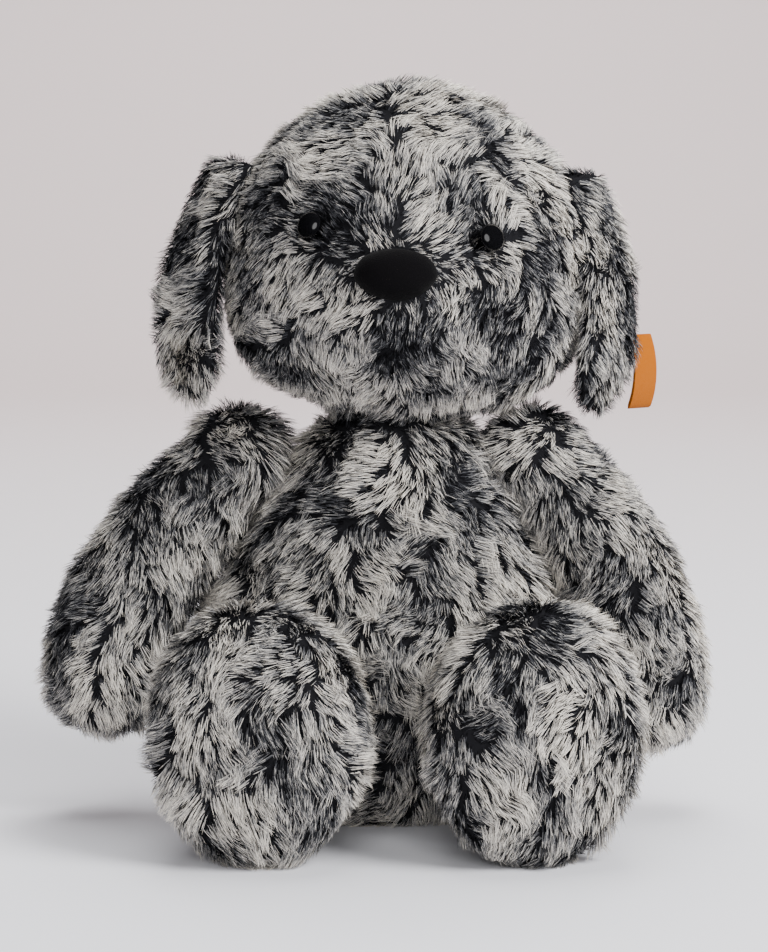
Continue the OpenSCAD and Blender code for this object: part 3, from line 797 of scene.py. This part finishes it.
# %% Finish of the CAD nodes that stay
def finish_node(name, material):
    """Gives a CAD node a better material in its own slots."""
    node = nodes[name]
    for k in range(max(1, len(node.material_slots))):
        if k >= len(node.data.materials):
            node.data.materials.append(material)
        node.data.materials[k] = material


washer_white = fabric("washer_white", (0.82, 0.82, 0.79), (0.35, 0.5), 60.0, 0.5)
thread_black = fabric("thread_black", (0.004, 0.004, 0.0045), (0.6, 0.9), 2500.0, 0.2)
for name in ("eye_washer_left", "eye_washer_right", "nose_washer"):
    finish_node(name, washer_white)
for name in ("mouth_stitch", "neck_gather_thread", "back_closing_thread"):
    finish_node(name, thread_black)

# %% [markdown]
# ## The labels
# The ear label is a short plain tape folded over and sewn into the ear's rear edge. The care label is a
# strip of white satin in the side seam, and both are left blank. A sheet of this kind starts as a flat
# grid of its cut size. The grid is folded and curved along its length and gets its thickness from
# Solidify. A twill weave is a diagonal wave that reads the piece's own UV map, so it follows the tape
# round its fold.


# %% Weave group
weave = bpy.data.node_groups.new("woven_ribs", "ShaderNodeTree")
socket(weave, "Ribs", "INPUT", value=60.0)
socket(weave, "Turn", "INPUT", value=0.8)
socket(weave, "Height", "OUTPUT")
inside = weave.nodes
g_in, g_out = inside.new("NodeGroupInput"), inside.new("NodeGroupOutput")
place = inside.new("ShaderNodeTexCoord")
turned = inside.new("ShaderNodeVectorRotate")
turned.rotation_type = "Z_AXIS"
ribs = inside.new("ShaderNodeTexWave")
ribs.wave_profile = "SIN"
weave.links.new(place.outputs["UV"], turned.inputs["Vector"])
weave.links.new(g_in.outputs["Turn"], turned.inputs["Angle"])
weave.links.new(turned.outputs["Vector"], ribs.inputs["Vector"])
weave.links.new(g_in.outputs["Ribs"], ribs.inputs["Scale"])
weave.links.new(ribs.outputs["Fac"], g_out.inputs["Height"])


# %% Label helper
def woven(name, color, valley_shade_color, ribs_count, turn, rough, specular=0.3):
    """A woven finish: ribs raise the surface, and a darker colour paints shade into the valleys between
    them.
    """
    m = fabric(name, color, rough, 900.0, specular)
    tree = m.node_tree
    shader = tree.nodes["Principled BSDF"]
    group = tree.nodes.new("ShaderNodeGroup")
    group.node_tree = weave
    group.inputs["Ribs"].default_value = ribs_count
    group.inputs["Turn"].default_value = turn
    # Painted shade: the valleys between the ribs get the darker colour.
    shade = tree.nodes.new("ShaderNodeMix")
    shade.data_type = "RGBA"
    shade.inputs["A"].default_value = (*valley_shade_color, 1)
    shade.inputs["B"].default_value = (*color, 1)
    bump = tree.nodes.new("ShaderNodeBump")
    bump.inputs["Strength"].default_value = 0.5
    bump.inputs["Distance"].default_value = 0.1 * MM
    tree.links.new(group.outputs["Height"], shade.inputs["Factor"])
    tree.links.new(shade.outputs["Result"], shader.inputs["Base Color"])
    tree.links.new(group.outputs["Height"], bump.inputs["Height"])
    tree.links.new(bump.outputs["Normal"], shader.inputs["Normal"])
    return m


def label(name, wide, long, material, thick, path):
    """A strip of cloth. For a share of its length, path gives the strip's middle and the way across it."""
    bpy.ops.object.select_all(action="DESELECT")
    bpy.ops.mesh.primitive_grid_add(x_subdivisions=6, y_subdivisions=48, size=1)
    strip = bpy.context.object
    strip.name = strip.data.name = name
    p = mesh_points(strip)
    rows = np.array([np.concatenate(path(v + 0.5)) for v in p[:, 1]])
    set_points(strip, rows[:, :3] + rows[:, 3:] * (p[:, :1] * wide))
    strip.data.materials.append(material)
    body = strip.modifiers.new("thickness", "SOLIDIFY")
    body.thickness = thick
    body.offset = 0
    apply_all(strip)
    bpy.ops.object.shade_smooth_by_angle(angle=math.radians(50))
    return strip


def label_frame(name):
    """Where a label is sewn, and its ways across and outwards, from its CAD solid."""
    p = np.array([v.co for v in nodes[name].data.vertices])
    top = p[p[:, 2] > p[:, 2].max() - 1.5 * MM]
    sewn = (top.min(0) + top.max(0)) / 2
    across = np.linalg.svd(top[:, :2] - top[:, :2].mean(0))[2][0]
    across = np.array((across[0], across[1], 0))
    outward = np.cross(across, (0, 0, 1.0))
    return sewn, across, outward * np.sign(outward[0])


# %% Ear label
# The second, darker colour is painted shade for the valleys of the weave.
tape_ochre = woven("tape_ochre", (0.44, 0.12, 0.001), (0.34, 0.085, 0.001), 40.0, 0.8, (0.6, 0.8))
TAPE_WIDE = 12 * MM
TAPE_LONG = 70 * MM
TAPE_BEND = 32 * MM
TAPE_GAP = 0.55 * MM
tape_sewn, tape_across, tape_out = label_frame("ear_label")
tape_half = TAPE_LONG / 4 / TAPE_BEND


def tape_path(share):
    """Down the outer leaf to the fold and up the inner one, bowed outwards."""
    down = 1 - abs(2 * share - 1)
    turn = tape_half * (2 * down - 1)
    layer = TAPE_BEND + TAPE_GAP * np.clip((0.5 - share) * 40, -1, 1)
    away = layer * math.cos(turn) - TAPE_BEND * math.cos(tape_half)
    drop = layer * (math.sin(turn) + math.sin(tape_half))
    return tape_sewn + away * tape_out + drop * DOWN, tape_across


ear_tape = label("ear_tape", TAPE_WIDE, TAPE_LONG, tape_ochre, 0.45 * MM, tape_path)
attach(ear_tape, "ear_label")
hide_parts("ear_label")

# %% Care label
# The second, darker colour is painted shade for the valleys of the weave.
satin = woven("satin_white", (0.86, 0.86, 0.83), (0.78, 0.78, 0.75), 120.0, 0.0, (0.25, 0.4), 0.5)
CARE_WIDE = 18 * MM
care_low, care_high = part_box("care_label")
CARE_LONG = care_high.z - care_low.z
care_sewn, care_across, care_out = label_frame("care_label")


def care_path(share):
    """Straight down from the seam, curling a little away from the fur."""
    return care_sewn + share * CARE_LONG * DOWN + 3 * MM * share**2 * care_out, care_across


care = label("care_strip", CARE_WIDE, CARE_LONG, satin, 0.25 * MM, care_path)
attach(care, "torso")
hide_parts("care_label")
print("tape at", tape_sewn.round(3), "care label", round(CARE_LONG / MM, 1), "mm long")

# %% [markdown]
# ## The ground and the light
# A pale sheet curves up behind the toy. The main soft light stands on the toy's left and a round one in
# front, with a weak one overhead and one more for the sheet behind.

# %% Stage
sheet_mat = bpy.data.materials.new("paper")
sheet_mat.use_nodes = True
sheet_tree = sheet_mat.node_tree
sheet_shader = sheet_tree.nodes["Principled BSDF"]
sheet_shader.inputs["Roughness"].default_value = 0.9
paper_place = sheet_tree.nodes.new("ShaderNodeTexCoord")
paper_parts = sheet_tree.nodes.new("ShaderNodeSeparateXYZ")
paper_run = sheet_tree.nodes.new("ShaderNodeMapRange")
paper_run.inputs["From Min"].default_value = 0.2
paper_run.inputs["From Max"].default_value = 1.9
paper_tint = sheet_tree.nodes.new("ShaderNodeMix")
paper_tint.data_type = "RGBA"
paper_tint.inputs["A"].default_value = (0.79, 0.79, 0.83, 1)
paper_tint.inputs["B"].default_value = (0.75, 0.655, 0.65, 1)
sheet_tree.links.new(paper_place.outputs["Object"], paper_parts.inputs["Vector"])
sheet_tree.links.new(paper_parts.outputs["Y"], paper_run.inputs["Value"])
sheet_tree.links.new(paper_run.outputs["Result"], paper_tint.inputs["Factor"])
sheet_tree.links.new(paper_tint.outputs["Result"], sheet_shader.inputs["Base Color"])
bpy.ops.object.select_all(action="DESELECT")
bpy.ops.mesh.primitive_grid_add(x_subdivisions=2, y_subdivisions=60, size=1, location=(0, 0, 0))
paper = bpy.context.object
paper.name = "paper"
p = mesh_points(paper)
PAPER_LONG = 10.0
PAPER_WIDE = 9
PAPER_FRONT = 3.2
run = (p[:, 1] + 0.5) * PAPER_LONG
turn_at, turn_r = 5.2, 0.9
arc = turn_r * math.pi / 2
angle = np.clip((run - turn_at) / turn_r, 0, math.pi / 2)
up = np.clip(run - turn_at - arc, 0, None)
y = np.minimum(run, turn_at) + turn_r * np.sin(angle) - PAPER_FRONT
z = turn_r * (1 - np.cos(angle)) + up
set_points(paper, np.stack([p[:, 0] * PAPER_WIDE, y, z], 1))
bpy.ops.object.shade_smooth()
paper.data.materials.append(sheet_mat)
paper.visible_glossy = False


# %% Lights
def area_light(name, at, look, size, power):
    """A soft round light at one place, turned to look at another."""
    data = bpy.data.lights.new(name, "AREA")
    data.shape = "DISK"
    data.size = size
    data.energy = power
    o = bpy.data.objects.new(name, data)
    bpy.context.scene.collection.objects.link(o)
    o.location = at
    o.rotation_euler = (Vector(look) - Vector(at)).to_track_quat("-Z", "Y").to_euler()
    return o


aim = (0, 0, 0.15)
backdrop_light = area_light("backdrop", (0, 1.6, 2.6), (0, 2.8, 0.7), 1.8, 70)
key = area_light("key", (1.3, -0.9, 1.3), aim, 0.9, 66)
area_light("front", (0.05, -1.75, 0.8), aim, 1.5, 19)
top = area_light("top", (0, 0.3, 2.0), aim, 1.4, 32)
for lamp in (key, top, backdrop_light):
    lamp.visible_glossy = False
world = bpy.data.worlds.new("room")
bpy.context.scene.world = world
world.use_nodes = True
world.node_tree.nodes["Background"].inputs["Color"].default_value = (0.95, 0.96, 1, 1)
world.node_tree.nodes["Background"].inputs["Strength"].default_value = 0.25
world.cycles_visibility.glossy = False
